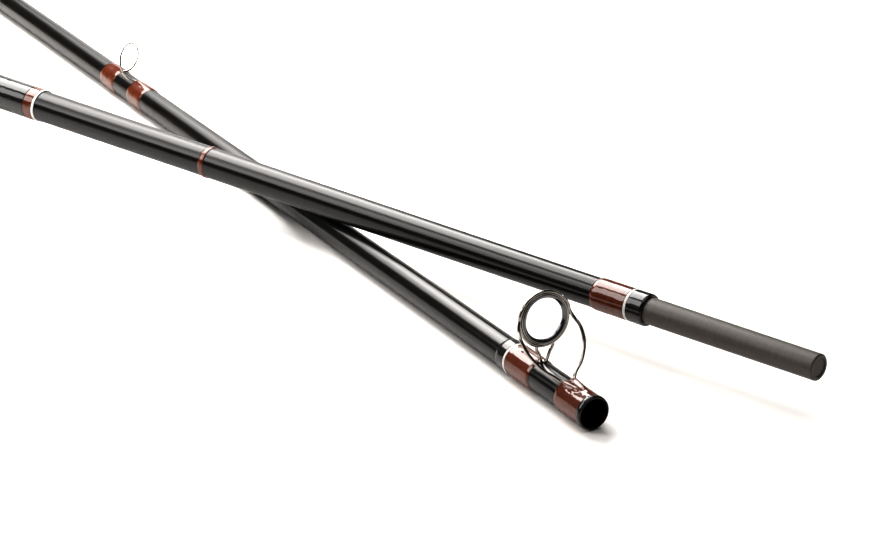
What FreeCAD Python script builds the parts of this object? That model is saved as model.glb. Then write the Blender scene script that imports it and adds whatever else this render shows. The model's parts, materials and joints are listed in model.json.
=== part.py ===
import FreeCAD, Part
import math
import os
import Sketcher
from FreeCAD import Placement, Rotation, Vector

# A three-piece two-handed fly rod, taken apart and laid on a table.
# The middle section lies along the row's X axis with its socket facing +X. The origin is on the socket's
# axis where its straight bore begins, just inside the flared mouth.
# The butt section crosses over it, and the tip section lies beside them.
#
# Each section has a local axis of its own. Local X starts where the section's socket bore begins (the butt
# section's starts at the free end of its spigot) and runs along the section; local Z points up.

SIZES = {
    # the three blanks: outer diameters fall by the taper for each millimetre of length
    "mid_dia": 14.2, "mid_taper": 0.006, "mid_length": 880.0, "mid_wall": 1.1,
    "butt_dia": 13.65, "butt_taper": 0.0026, "butt_length": 890.0, "butt_wall": 1.2,
    "tip_end_dia": 2.4, "tip_length": 880.0, "tip_wall": 0.8, "tip_hollow": 700.0,
    # ferrules: a spigot glued in one section slides into the socket of the next
    "spigot_radius": 6.05, "spigot_reach": 90.8, "spigot_glued": 70.0, "spigot_bore": 4.4,
    "socket_radius": 6.1, "socket_depth": 93.0, "mouth_flare": 2.0, "mouth_radius": 6.9,
    "small_spigot_radius": 4.0, "small_spigot_reach": 80.0, "small_spigot_glued": 60.0,
    "small_spigot_bore": 2.8, "small_socket_radius": 4.05, "small_socket_depth": 82.0, "glue_step": 0.3,
    "spigot_chamfer": 0.4, "plug_recess": 0.5, "plug_thick": 3.5,
    # thread wraps under resin
    "wrap_thick": 0.5, "slim_wrap_thick": 0.4, "wrap_edge": 0.12, "wrap_shoulder": 1.0,
    "trim_width": 1.3, "trim_thick": 0.46, "foot_cover": 0.35,
    # middle section, from the start of the socket's bore
    "rim_end": 0.7, "rim_radius_out": 7.9, "front_wrap_end": 19.0, "rear_wrap_start": 39.8,
    "rear_wrap_end": 58.9, "rear_edge_end": 66.6, "far_edge_width": 12.0, "far_wrap_width": 20.0,
    # butt section, from the spigot's shoulder
    "end_wrap_width": 8.45, "ferrule_wrap_width": 18.65, "band_start": 254.4, "band_width": 3.0,
    "signature_start": 361.2, "signature_band_width": 5.5, "signature_end": 440.0,
    "check_width": 6.0, "check_radius": 9.6,
    "fore_grip_end": 676.0, "hood_width": 18.0, "spacer_end": 744.0, "barrel_end": 796.0,
    "spacer_radius": 9.6, "barrel_radius": 10.0, "barrel_play": 0.05,
    "hood_radius": 11.4, "dome_radius": 9.0, "dome_height": 6.6, "pocket_radius": 8.0, "pocket_back": 4.0,
    "sliding_hood_start": 752.0, "sliding_hood_width": 16.0, "ring_gap": 0.4, "lock_ring_width": 10.0,
    "lock_ring_radius": 12.6, "flute_radius": 1.2,
    "rear_grip_end": 886.0, "cap_end": 904.0, "cap_radius": 15.0, "cap_round": 7.0,
    # the two-footed stripping guide
    "ring_place": 38.2, "ring_height": 28.4, "ring_lean": 5.0, "insert_bore": 9.2, "insert_radius": 11.1,
    "insert_width": 2.6, "rim_radius": 11.6, "rim_thick": 2.0, "loop_radius": 12.15, "frame_wire": 0.65,
    "foot_bed": 0.25,
    # one-turn snake guides on the middle section
    "snake_wire": 0.4, "snake_gap": 12.5, "snake_half_width": 6.5, "snake_rise": 17.0, "snake_foot": 11.0,
    "snake_wrap": 13.5,
    # the same on the tip section, and the tip-top
    "tip_wire": 0.35, "tip_gap": 11.0, "tip_half_width": 3.5, "tip_rise": 8.6, "tip_foot": 8.5,
    "tip_wrap": 10.0,
    "tip_socket_wrap_start": 2.0, "tip_socket_wrap_end": 22.0, "tip_socket_edge_end": 34.0,
    "top_radius": 1.8, "top_tube": 10.0, "top_reach": 8.0, "top_loop": 2.8, "top_wire": 0.42,
    # how the sections lie: distances to the crossing, and the tip section's place beside them
    "cross_on_mid": 215.0, "cross_on_butt": 179.9, "cross_turn": 19.1, "cross_gap": 0.35,
    "tip_aside": 270.0, "tip_back": 150.0,
}

MID_SNAKES = (411.0, 620.0, 785.0)
TIP_SNAKES = (190.0, 390.0, 570.0, 740.0)

# How the stripping guide's long legs sweep from the ring down to the blank: distances ahead of the ring,
# out to each side, and below the ring's centre.
LEG_BENDS = ((3.7, 14.7, 2.5), (9.5, 14.6, 8.0), (14.5, 10.4, 14.6), (17.2, 4.8, 19.3))

doc = FreeCAD.newDocument("FlyRod")
sheet = doc.addObject("Spreadsheet::Sheet", "Sizes")
for row, (alias, number) in enumerate(SIZES.items(), start=1):
    sheet.set(f"A{row}", alias)
    sheet.set(f"B{row}", str(number))
    sheet.setAlias(f"B{row}", alias)
doc.recompute()

finished = []


def size(expression):
    """The value of a spreadsheet expression, such as 'Sizes.mid_dia / 2'."""
    result = sheet.evalExpression(expression)
    return float(getattr(result, "Value", result))


def cell(alias):
    return f"Sizes.{alias}"


# Outer radius of each blank as a spreadsheet expression of the local X.

def mid_radius(place):
    return f"(Sizes.mid_dia - Sizes.mid_taper * ({place})) / 2"


def butt_radius(place):
    return f"(Sizes.butt_dia + Sizes.butt_taper * (({place}) - Sizes.spigot_reach)) / 2"


MID_END_DIA = "(Sizes.mid_dia - Sizes.mid_taper * Sizes.mid_length)"


def tip_radius(place):
    return f"({MID_END_DIA} - ({MID_END_DIA} - Sizes.tip_end_dia) * ({place}) / Sizes.tip_length) / 2"


# ---------------------------------------------------------------- where the three sections lie

FLOOR = -size("Sizes.rim_radius_out")


def lying(start, turn, fall):
    """Placement of a section whose local X runs from start, turned about Z, and falls, angles in degrees."""
    return Placement(start, Rotation(Vector(0, 0, 1), turn) * Rotation(Vector(0, 1, 0), fall))


# the middle section rests on its mouth rim and on the wrap beside its far spigot
mid_far_height = FLOOR + size(f"{MID_END_DIA} / 2 + Sizes.slim_wrap_thick")
mid_fall = math.degrees(math.atan2(-mid_far_height, size("Sizes.mid_length")))
mid_place = lying(Vector(0, 0, 0), 180, mid_fall)

cross_drop = size(cell("cross_on_mid")) * math.tan(math.radians(mid_fall))
cross_height = (size(mid_radius(cell("cross_on_mid"))) + size("Sizes.cross_gap") - cross_drop
                + size(butt_radius("Sizes.spigot_reach + Sizes.cross_on_butt")))
cap_height = FLOOR + size("Sizes.cap_radius")
cap_distance = size("Sizes.cap_end - Sizes.cap_round - Sizes.cross_on_butt")
butt_fall = math.degrees(math.atan2(cross_height - cap_height, cap_distance))
butt_place = lying(Vector(0, 0, 0), 180 + size("Sizes.cross_turn"), butt_fall)
cross_on_axis = Vector(size("Sizes.spigot_reach + Sizes.cross_on_butt"), 0, 0)
cross_point = Vector(-size("Sizes.cross_on_mid"), 0, cross_height)
butt_place.Base = cross_point - butt_place.Rotation.multVec(cross_on_axis)

tip_mouth_height = FLOOR + size(f"{MID_END_DIA} / 2 + Sizes.slim_wrap_thick")
tip_end_height = FLOOR + size("Sizes.top_radius")
tip_fall = math.degrees(math.atan2(tip_mouth_height - tip_end_height, size("Sizes.tip_length")))
tip_start = Vector(-size("Sizes.tip_back"), -size("Sizes.tip_aside"), tip_mouth_height)
tip_place = lying(tip_start, 180, tip_fall)


# ---------------------------------------------------------------- turned pieces

def turned(label, outline, place):
    """A body turned about local X. Each outline entry is (x, radius), or (x, radius, bulge_x, bulge_radius)
    where the edge to the next entry is an arc through the bulge point."""
    body = doc.addObject("PartDesign::Body", label)
    body.Label = label
    sketch = body.newObject("Sketcher::SketchObject", label + "_outline")
    plane = [item for item in body.Origin.OriginFeatures if item.Role == "XY_Plane"][0]
    sketch.AttachmentSupport = (plane, [""])
    sketch.MapMode = "FlatFace"
    corners = [Vector(size(entry[0]), size(entry[1]), 0) for entry in outline]
    first_ends = []
    last_ends = []
    for index, entry in enumerate(outline):
        start = corners[index]
        end = corners[(index + 1) % len(corners)]
        if len(entry) == 2:
            edge = sketch.addGeometry(Part.LineSegment(start, end), False)
            first_ends.append((edge, 1))
            last_ends.append((edge, 2))
            continue
        middle = Vector(size(entry[2]), size(entry[3]), 0)
        turns_left = (middle - start).cross(end - middle).z > 0
        arc = Part.Arc(start, middle, end) if turns_left else Part.Arc(end, middle, start)
        edge = sketch.addGeometry(arc, False)
        first_ends.append((edge, 1 if turns_left else 2))
        last_ends.append((edge, 2 if turns_left else 1))
        marker = sketch.addGeometry(Part.Point(middle), True)
        pin_point(sketch, marker, 1, entry[2], entry[3])
        sketch.addConstraint(Sketcher.Constraint("PointOnObject", marker, 1, edge))
    for index, entry in enumerate(outline):
        sketch.addConstraint(Sketcher.Constraint("Coincident", *last_ends[index - 1], *first_ends[index]))
        pin_point(sketch, *first_ends[index], entry[0], entry[1])
    turn = body.newObject("PartDesign::Revolution", label + "_turn")
    turn.Profile = sketch
    turn.ReferenceAxis = (sketch, ["H_Axis"])
    turn.Angle = 360
    body.Placement = place
    finished.append(body)
    return body


def pin_point(sketch, edge, end, across, out):
    """Hold one point of a sketch at a distance along the axis and a distance out from it."""
    for kind, expression in (("DistanceX", across), ("DistanceY", out)):
        number = sketch.addConstraint(Sketcher.Constraint(kind, edge, end, size(expression)))
        sketch.setExpression(f"Constraints[{number}]", expression)


def wrap(label, start, end, radius, thick, place):
    """A band of thread round a blank: its bore is the blank's cone, and its ends fall away in shoulders."""
    shoulder = cell("wrap_shoulder")
    edge = cell("wrap_edge")
    turned(label, [
        (start, radius(start)),
        (end, radius(end)),
        (end, f"{radius(end)} + {edge}"),
        (f"{end} - {shoulder}", f"{radius(end)} + {cell(thick)}"),
        (f"{start} + {shoulder}", f"{radius(start)} + {cell(thick)}"),
        (start, f"{radius(start)} + {edge}"),
    ], place)


def trim(label, start, radius, place):
    """A narrow contrasting thread ring."""
    end = f"{start} + Sizes.trim_width"
    turned(label, [
        (start, radius(start)),
        (end, radius(end)),
        (end, f"{radius(end)} + Sizes.trim_thick"),
        (start, f"{radius(start)} + Sizes.trim_thick"),
    ], place)


def spigot(label, shoulder, toward, glued, reach, radius, bore, place):
    """A hollow spigot. Its free part ends in a chamfer, and the part glued inside the blank is thinner.
    toward is "+" or "-", the way the free part points along local X from the blank's shoulder."""
    away = "-" if toward == "+" else "+"
    thin = f"{cell(radius)} - Sizes.glue_step"
    tip = f"({shoulder} {toward} {cell(reach)})"
    root = f"({shoulder} {away} {cell(glued)})"
    turned(label, [
        (root, cell(bore)), (root, thin), (shoulder, thin), (shoulder, cell(radius)),
        (f"({tip} {away} Sizes.spigot_chamfer)", cell(radius)),
        (tip, f"{cell(radius)} - Sizes.spigot_chamfer"), (tip, cell(bore)),
    ], place)


def plug(label, start, bore, place):
    """The disc that closes a spigot's bore."""
    end = f"{start} + Sizes.plug_thick"
    turned(label, [(start, "0"), (end, "0"), (end, cell(bore)), (start, cell(bore))], place)


# ---------------------------------------------------------------- bent wire

def rounded_path(points):
    """A wire of straight runs through the points, each corner rounded by an arc as large as its runs allow."""
    edges = []
    run_start = points[0]
    for before, corner, after in zip(points, points[1:], points[2:]):
        back = (before - corner).normalize()
        ahead = (after - corner).normalize()
        reach = 0.45 * min((before - corner).Length, (after - corner).Length)
        bend = math.pi - back.getAngle(ahead)
        radius = reach / math.tan(bend / 2)
        inward = (back + ahead).normalize()
        arc_middle = corner + inward * (radius / math.cos(bend / 2) - radius)
        arc_start = corner + back * reach
        arc_end = corner + ahead * reach
        edges.append(Part.LineSegment(run_start, arc_start).toShape())
        edges.append(Part.Arc(arc_start, arc_middle, arc_end).toShape())
        run_start = arc_end
    edges.append(Part.LineSegment(run_start, points[-1]).toShape())
    return Part.Wire(edges)


def rod_along(points, radius):
    """A round wire bent along the points, checked against its section times its length."""
    path = rounded_path(points) if len(points) > 2 else Part.Wire(Part.LineSegment(*points).toShape())
    section = Part.Wire(Part.Circle(points[0], points[1] - points[0], radius).toShape())
    rod = path.makePipeShell([section], True, False)
    expected = math.pi * radius ** 2 * path.Length
    if abs(rod.Volume - expected) > 0.02 * expected:
        raise RuntimeError(f"bent wire volume {rod.Volume:.1f}, expected {expected:.1f}")
    return rod


def fused(shapes):
    return shapes[0].multiFuse(shapes[1:]).removeSplitter()


def core(start, end, radius):
    """The blank's outside as a solid cone, to bed feet and wraps on."""
    return Part.makeCone(size(radius(str(start))), size(radius(str(end))), end - start,
                         Vector(start, 0, 0), Vector(1, 0, 0))


def on_blank(along, angle, radius, above):
    """A point above the blank's surface, at an angle from straight up."""
    out = size(radius(str(along))) + above
    turn = math.radians(angle)
    return Vector(along, out * math.sin(turn), out * math.cos(turn))


def shaped(label, shape, place):
    feature = doc.addObject("Part::Feature", label)
    feature.Label = label
    feature.Shape = shape
    feature.Placement = place
    finished.append(feature)
    return feature


def foot_wrap(start, end, radius, thick, feet, guide):
    """A thread band that rises over the wire feet lying under it."""
    inner_start = size(radius(str(start)))
    inner_end = size(radius(str(end)))
    shoulder = size(cell("wrap_shoulder"))
    edge = size(cell("wrap_edge"))
    over = size(cell(thick))
    outline = [
        Vector(start, 0, inner_start - 1), Vector(end, 0, inner_end - 1), Vector(end, 0, inner_end + edge),
        Vector(end - shoulder, 0, inner_end + over), Vector(start + shoulder, 0, inner_start + over),
        Vector(start, 0, inner_start + edge),
    ]
    face = Part.Face(Part.makePolygon(outline + outline[:1]))
    band = face.revolve(Vector(0, 0, 0), Vector(1, 0, 0), 360)
    solid = fused([band] + feet)
    sleeve = Part.makeCylinder(inner_start + 8, end - start, Vector(start, 0, 0), Vector(1, 0, 0))
    return solid.common(sleeve).cut(core(start - 1, end + 1, radius)).cut(guide)


# ---------------------------------------------------------------- guides

def stripping_guide():
    """Wire frame on two feet that holds a ceramic ring, with its two lashings."""
    wire = size(cell("frame_wire"))
    place = size(cell("ring_place"))
    height = size(cell("ring_height"))
    lean = size(cell("ring_lean"))
    loop = size(cell("loop_radius"))
    bed = size(cell("foot_bed"))
    front_end = size(cell("front_wrap_end"))
    rear_start = size(cell("rear_wrap_start"))
    ring_turn = Placement(Vector(place, 0, height), Rotation(Vector(0, 1, 0), lean))

    loop_shape = Part.makeTorus(loop, wire, Vector(0, 0, 0), Vector(1, 0, 0))
    loop_shape.Placement = ring_turn
    pieces = [loop_shape]
    front_feet = []
    rear_feet = []
    for side in (-1, 1):
        hip = ring_turn.multVec(Vector(0, side * loop, 1.0))
        leg = [Vector(place - ahead, side * out, height - below) for ahead, out, below in LEG_BENDS]
        toes = [on_blank(front_end - 1.5, side * 18, mid_radius, bed),
                on_blank(front_end - 7, side * 11, mid_radius, bed),
                on_blank(front_end - 14, side * 9, mid_radius, bed)]
        pieces.append(rod_along([hip] + leg + toes, wire))
        front_feet.append(rod_along(leg[-1:] + toes, wire + size(cell("foot_cover"))))

        under_ring = ring_turn.multVec(Vector(0, side * 3.9, -math.sqrt(loop ** 2 - 3.9 ** 2)))
        heel = on_blank(place - 1.0, side * 8, mid_radius, bed + 0.4)
        tail = [on_blank(rear_start + 1.5, side * 6, mid_radius, bed),
                on_blank(rear_start + 15, side * 6, mid_radius, bed)]
        pieces.append(rod_along([under_ring, heel] + tail, wire))
        rear_feet.append(rod_along([heel] + tail, wire + size(cell("foot_cover"))))

    seat = Part.makeCylinder(size(cell("rim_radius")), 6, Vector(-3, 0, 0), Vector(1, 0, 0))
    seat.Placement = ring_turn
    frame = fused(pieces).cut(core(0, 90, mid_radius)).cut(seat)
    shaped("stripping_guide_frame", frame, mid_place)
    shaped("stripping_front_wrap", foot_wrap(size(cell("rim_end")), front_end, mid_radius, "wrap_thick",
                                             front_feet, frame), mid_place)
    shaped("stripping_rear_wrap", foot_wrap(rear_start, size(cell("rear_wrap_end")), mid_radius, "wrap_thick",
                                            rear_feet, frame), mid_place)

    ring_place = mid_place.multiply(ring_turn)
    half_rim = "Sizes.rim_thick / 2"
    turned("stripping_guide_rim", [
        (f"-{half_rim}", cell("insert_radius")), (half_rim, cell("insert_radius")),
        (half_rim, cell("rim_radius")), (f"-{half_rim}", cell("rim_radius")),
    ], ring_place)
    half = "Sizes.insert_width / 2"
    turned("stripping_guide_insert", [
        (f"-{half}", cell("insert_radius")), (half, cell("insert_radius")),
        (half, "Sizes.insert_bore + 1.1", "0", cell("insert_bore")),
        (f"-{half}", "Sizes.insert_bore + 1.1"),
    ], ring_place)


def snake_guide(centre, radius, prefix):
    """A wire of one helical turn with a straight foot at each end. Returns it and its two covered feet."""
    wire = size(cell(prefix + "_wire"))
    gap = size(cell(prefix + "_gap"))
    half_width = size(cell(prefix + "_half_width"))
    rise = size(cell(prefix + "_rise"))
    foot = size(cell(prefix + "_foot"))
    bed = 0.6 * wire
    near = centre - gap / 2
    far = centre + gap / 2
    near_foot = [on_blank(near - foot, 0, radius, bed), on_blank(near - 1.0, 0, radius, bed)]
    far_foot = [on_blank(far + 1.0, 0, radius, bed), on_blank(far + foot, 0, radius, bed)]
    turn = []
    for step in range(1, 8):
        angle = step * math.pi / 4
        low = size(radius(str(centre))) + bed
        turn.append(Vector(near + gap * step / 8, half_width * math.sin(angle),
                           low + rise / 2 * (1 - math.cos(angle))))
    body = rod_along(near_foot + turn + far_foot, wire).cut(core(near - 30, far + 30, radius))
    cover = wire + size(cell("foot_cover"))
    return body, rod_along(near_foot, cover), rod_along(far_foot, cover)


def mid_snake_guides():
    gap = size(cell("snake_gap"))
    band = size(cell("snake_wrap"))
    for number, centre in enumerate(MID_SNAKES, start=1):
        wire, near_foot, far_foot = snake_guide(centre, mid_radius, "snake")
        near = centre - gap / 2
        far = centre + gap / 2
        name = f"mid_snake_{number}"
        shaped(f"{name}_guide", wire, mid_place)
        shaped(f"{name}_butt_wrap", foot_wrap(near - band, near - 0.6, mid_radius, "slim_wrap_thick",
                                              [near_foot], wire), mid_place)
        shaped(f"{name}_tip_wrap", foot_wrap(far + 0.6, far + band, mid_radius, "slim_wrap_thick",
                                             [far_foot], wire), mid_place)


def tip_snake_guides():
    gap = size(cell("tip_gap"))
    band = size(cell("tip_wrap"))
    for number, centre in enumerate(TIP_SNAKES, start=1):
        wire, near_foot, far_foot = snake_guide(centre, tip_radius, "tip")
        near = centre - gap / 2
        far = centre + gap / 2
        near_wrap = foot_wrap(near - band, near - 0.6, tip_radius, "slim_wrap_thick", [near_foot], wire)
        far_wrap = foot_wrap(far + 0.6, far + band, tip_radius, "slim_wrap_thick", [far_foot], wire)
        shaped(f"tip_snake_{number}_guide", wire, tip_place)
        shaped(f"tip_snake_{number}_wraps", Part.makeCompound([near_wrap, far_wrap]), tip_place)


def tip_top():
    """The end guide: a small tube glued on the tip, with a wire loop standing on its nose."""
    length = size(cell("tip_length"))
    tube_start = length - size(cell("top_tube"))
    tube_end = length + size(cell("top_reach"))
    radius = size(cell("top_radius"))
    loop = size(cell("top_loop"))
    wire = size(cell("top_wire"))
    tube = Part.makeCylinder(radius, tube_end - tube_start, Vector(tube_start, 0, 0), Vector(1, 0, 0))
    ring = Part.makeTorus(loop, wire, Vector(tube_end - 1.2, 0, radius + loop - wire), Vector(1, 0, 0.35))
    brace_foot = Vector(tube_start + 5, 0, radius - 0.3)
    braces = [rod_along([brace_foot, Vector(tube_end - 1.0, side * loop, radius + loop)], wire)
              for side in (-1, 1)]
    shape = fused([tube, ring] + braces).cut(core(tube_start - 1, length, tip_radius))
    shaped("tip_top", shape, tip_place)


# ---------------------------------------------------------------- the three sections

def middle_section():
    end = cell("mid_length")
    mouth = "-Sizes.mouth_flare"
    glued_radius = "Sizes.small_spigot_radius - Sizes.glue_step"
    bond = f"({end} - Sizes.small_spigot_glued)"
    bore_end = cell("socket_depth")
    turned("mid_blank", [
        ("0", cell("socket_radius")), (mouth, cell("mouth_radius")), (mouth, mid_radius(mouth)),
        (end, mid_radius(end)), (end, glued_radius), (bond, glued_radius),
        (bond, f"{mid_radius(bond)} - Sizes.mid_wall"),
        (bore_end, f"{mid_radius(bore_end)} - Sizes.mid_wall"), (bore_end, cell("socket_radius")),
    ], mid_place)
    rim_end = cell("rim_end")
    turned("socket_rim", [
        (mouth, mid_radius(mouth)), (rim_end, mid_radius(rim_end)), (rim_end, "Sizes.rim_radius_out - 0.2"),
        ("0", cell("rim_radius_out"), f"{mouth} + 0.4", "Sizes.rim_radius_out - 0.18"),
        (mouth, f"{mid_radius(mouth)} + 0.2"),
    ], mid_place)
    trim("stripping_rear_trim", cell("rear_wrap_end"), mid_radius, mid_place)
    edge_start = "(Sizes.rear_wrap_end + Sizes.trim_width)"
    wrap("stripping_rear_edge_wrap", edge_start, cell("rear_edge_end"), mid_radius, "wrap_thick", mid_place)
    edge = f"({end} - Sizes.far_edge_width)"
    ring = f"({edge} - Sizes.trim_width)"
    wrap("mid_ferrule_end_wrap", edge, end, mid_radius, "slim_wrap_thick", mid_place)
    trim("mid_ferrule_trim", ring, mid_radius, mid_place)
    wrap("mid_ferrule_wrap", f"({ring} - Sizes.far_wrap_width)", ring, mid_radius, "slim_wrap_thick",
         mid_place)
    spigot("mid_spigot", end, "+", "small_spigot_glued", "small_spigot_reach", "small_spigot_radius",
           "small_spigot_bore", mid_place)
    plug("mid_spigot_plug", f"({end} + Sizes.small_spigot_reach - Sizes.plug_recess - Sizes.plug_thick)",
         "small_spigot_bore", mid_place)


def from_shoulder(distance):
    """Local X of a place on the butt section, from its distance to the spigot's shoulder."""
    return f"(Sizes.spigot_reach + {distance})"


def butt_section():
    start = cell("spigot_reach")
    end = from_shoulder("Sizes.butt_length")
    bond = f"({start} + Sizes.spigot_glued)"
    glued_radius = "Sizes.spigot_radius - Sizes.glue_step"
    turned("butt_blank", [
        (start, glued_radius), (start, butt_radius(start)), (end, butt_radius(end)),
        (end, f"{butt_radius(end)} - Sizes.butt_wall"), (bond, f"{butt_radius(bond)} - Sizes.butt_wall"),
        (bond, glued_radius),
    ], butt_place)
    spigot("butt_spigot", start, "-", "spigot_glued", "spigot_reach", "spigot_radius", "spigot_bore",
           butt_place)
    plug("butt_spigot_plug", "Sizes.plug_recess", "spigot_bore", butt_place)
    edge_end = from_shoulder("Sizes.end_wrap_width")
    ring_end = f"({edge_end} + Sizes.trim_width)"
    wrap("butt_ferrule_end_wrap", start, edge_end, butt_radius, "wrap_thick", butt_place)
    trim("butt_ferrule_trim", edge_end, butt_radius, butt_place)
    wrap("butt_ferrule_wrap", ring_end, f"({ring_end} + Sizes.ferrule_wrap_width)", butt_radius, "wrap_thick",
         butt_place)
    band = from_shoulder("Sizes.band_start")
    turned("marker_band", [
        (band, butt_radius(band)), (f"{band} + Sizes.band_width", butt_radius(f"{band} + Sizes.band_width")),
        (f"{band} + Sizes.band_width - 0.4", f"{butt_radius(band)} + 0.3"),
        (f"{band} + 0.4", f"{butt_radius(band)} + 0.3"),
    ], butt_place)
    signature = from_shoulder("Sizes.signature_start")
    brown = f"({signature} + Sizes.trim_width)"
    black = f"({brown} + Sizes.signature_band_width)"
    trim("signature_trim", signature, butt_radius, butt_place)
    wrap("signature_band", brown, black, butt_radius, "wrap_thick", butt_place)
    wrap("signature_wrap", black, from_shoulder("Sizes.signature_end"), butt_radius, "wrap_thick", butt_place)


def handle():
    check = from_shoulder("Sizes.signature_end")
    grip = f"({check} + Sizes.check_width)"
    turned("winding_check", [
        (check, butt_radius(check)), (grip, butt_radius(grip)), (grip, cell("check_radius")),
        (f"{check} + 2", "Sizes.check_radius - 0.3"), (check, f"{butt_radius(check)} + 0.8"),
    ], butt_place)
    grip_end = from_shoulder("Sizes.fore_grip_end")
    turned("fore_grip", [
        (grip, butt_radius(grip)), (grip, "9.4", f"{grip} + 30", "12.4"),
        (f"{grip} + 75", "13.6", f"{grip} + 140", "12.6"),
        (f"{grip} + 205", "13.2", f"{grip} + 220", "13.0"),
        (grip_end, "12.0"), (grip_end, butt_radius(grip_end)),
    ], butt_place)
    spacer_end = from_shoulder("Sizes.spacer_end")
    turned("reel_seat_spacer", [
        (grip_end, butt_radius(grip_end)), (spacer_end, butt_radius(spacer_end)),
        (spacer_end, cell("spacer_radius")), (grip_end, cell("spacer_radius")),
    ], butt_place)
    barrel_end = from_shoulder("Sizes.barrel_end")
    turned("reel_seat_barrel", [
        (spacer_end, butt_radius(spacer_end)), (barrel_end, butt_radius(barrel_end)),
        (barrel_end, cell("barrel_radius")), (spacer_end, cell("barrel_radius")),
    ], butt_place)
    rear_end = from_shoulder("Sizes.rear_grip_end")
    turned("rear_grip", [
        (barrel_end, butt_radius(barrel_end)), (barrel_end, "12.2", f"{barrel_end} + 45", "14.2"),
        (rear_end, "13.4"), (rear_end, butt_radius(rear_end)),
    ], butt_place)
    blank_end = from_shoulder("Sizes.butt_length")
    cap_end = from_shoulder("Sizes.cap_end")
    dome = f"({cap_end} - Sizes.cap_round)"
    turned("butt_cap", [
        (rear_end, butt_radius(rear_end)), (blank_end, butt_radius(blank_end)), (blank_end, "0"),
        (cap_end, "0"),
        (cap_end, "Sizes.cap_radius - Sizes.cap_round",
         f"{dome} + Sizes.cap_round * 0.7071", "Sizes.cap_radius - Sizes.cap_round * (1 - 0.7071)"),
        (dome, cell("cap_radius")), (f"{rear_end} + 2", cell("cap_radius")), (rear_end, "13.8"),
    ], butt_place)


def hood(label, start, width, bore, mouth_at_end):
    """A reel-seat hood: a collar with a domed roof, under it a pocket for the end of a reel's foot."""
    axis = Vector(1, 0, 0)
    back = size(cell("pocket_back"))
    collar = Part.makeCylinder(size(cell("hood_radius")), width, Vector(start, 0, 0), axis)
    roof_height = size(cell("dome_height"))
    roof = Part.makeCylinder(size(cell("dome_radius")), width, Vector(start, 0, roof_height), axis)
    outside = fused([collar, roof])
    closed_face = start if mouth_at_end else start + width
    rims = [edge for edge in outside.Edges if abs(edge.CenterOfMass.x - closed_face) < 0.01]
    outside = outside.makeFillet(1.2, rims)
    pocket_start = start + back if mouth_at_end else start - 1
    pocket = Part.makeCylinder(size(cell("pocket_radius")), width - back + 1,
                               Vector(pocket_start, 0, roof_height), axis)
    hole = Part.makeCylinder(bore, width + 2, Vector(start - 1, 0, 0), axis)
    shaped(label, outside.cut(pocket).cut(hole), butt_place)


def reel_seat_hardware():
    shoulder = size(cell("spigot_reach"))
    play = size(cell("barrel_play"))
    running_bore = size(cell("barrel_radius")) + play
    hood("fixed_hood", shoulder + size(cell("fore_grip_end")), size(cell("hood_width")),
         size(cell("spacer_radius")), True)
    sliding_start = shoulder + size(cell("sliding_hood_start"))
    sliding_width = size(cell("sliding_hood_width"))
    hood("sliding_hood", sliding_start, sliding_width, running_bore, False)

    ring_start = sliding_start + sliding_width + size(cell("ring_gap"))
    ring_width = size(cell("lock_ring_width"))
    outer = size(cell("lock_ring_radius"))
    axis = Vector(1, 0, 0)
    ring = Part.makeCylinder(outer, ring_width, Vector(ring_start, 0, 0), axis)
    ring = ring.makeChamfer(0.6, [edge for edge in ring.Edges if edge.Closed])
    flute = size(cell("flute_radius"))
    flutes = []
    for index in range(12):
        turn = math.radians(30 * index)
        middle = Vector(ring_start - 1, (outer + 0.5) * math.sin(turn), (outer + 0.5) * math.cos(turn))
        flutes.append(Part.makeCylinder(flute, ring_width + 2, middle, axis))
    hole = Part.makeCylinder(running_bore, ring_width + 2, Vector(ring_start - 1, 0, 0), axis)
    shaped("lock_ring", ring.cut(flutes).cut(hole), butt_place)


def tip_section():
    end = cell("tip_length")
    bore_end = cell("small_socket_depth")
    hollow = cell("tip_hollow")
    turned("tip_blank", [
        ("0", cell("small_socket_radius")), ("0", tip_radius("0")), (end, tip_radius(end)), (end, "0"),
        (hollow, "0"), (hollow, f"{tip_radius(hollow)} - Sizes.tip_wall"),
        (bore_end, f"{tip_radius(bore_end)} - Sizes.tip_wall"), (bore_end, cell("small_socket_radius")),
    ], tip_place)
    ring = cell("tip_socket_wrap_end")
    wrap("tip_socket_wrap", cell("tip_socket_wrap_start"), ring, tip_radius, "slim_wrap_thick", tip_place)
    trim("tip_socket_trim", ring, tip_radius, tip_place)
    wrap("tip_socket_edge_wrap", f"({ring} + Sizes.trim_width)", cell("tip_socket_edge_end"), tip_radius,
         "slim_wrap_thick", tip_place)


middle_section()
stripping_guide()
mid_snake_guides()
butt_section()
handle()
reel_seat_hardware()
tip_section()
tip_snake_guides()
tip_top()

doc.recompute()
for item in doc.Objects:
    if "Invalid" in item.State or "Error" in item.State:
        raise RuntimeError(f"{item.Label} did not recompute: {item.State}")
for piece in finished:
    if piece.Shape.isNull() or not piece.Shape.isValid() or not piece.Shape.Solids:
        raise RuntimeError(f"{piece.Label} has no valid solid")

os.makedirs("parts", exist_ok=True)
for piece in finished:
    piece.Shape.exportStep(f"parts/{piece.Label}.step")
    print(f"{piece.Label:28s} solids {len(piece.Shape.Solids)}  volume {piece.Shape.Volume:10.1f}")
print(f"floor {FLOOR:.3f}  butt falls {butt_fall:.4f} from {cross_height:.3f}  tip falls {tip_fall:.4f}")
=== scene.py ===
import json
import math

import bmesh
import bpy
import numpy as np
from mathutils import Matrix, Vector, noise


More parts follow.
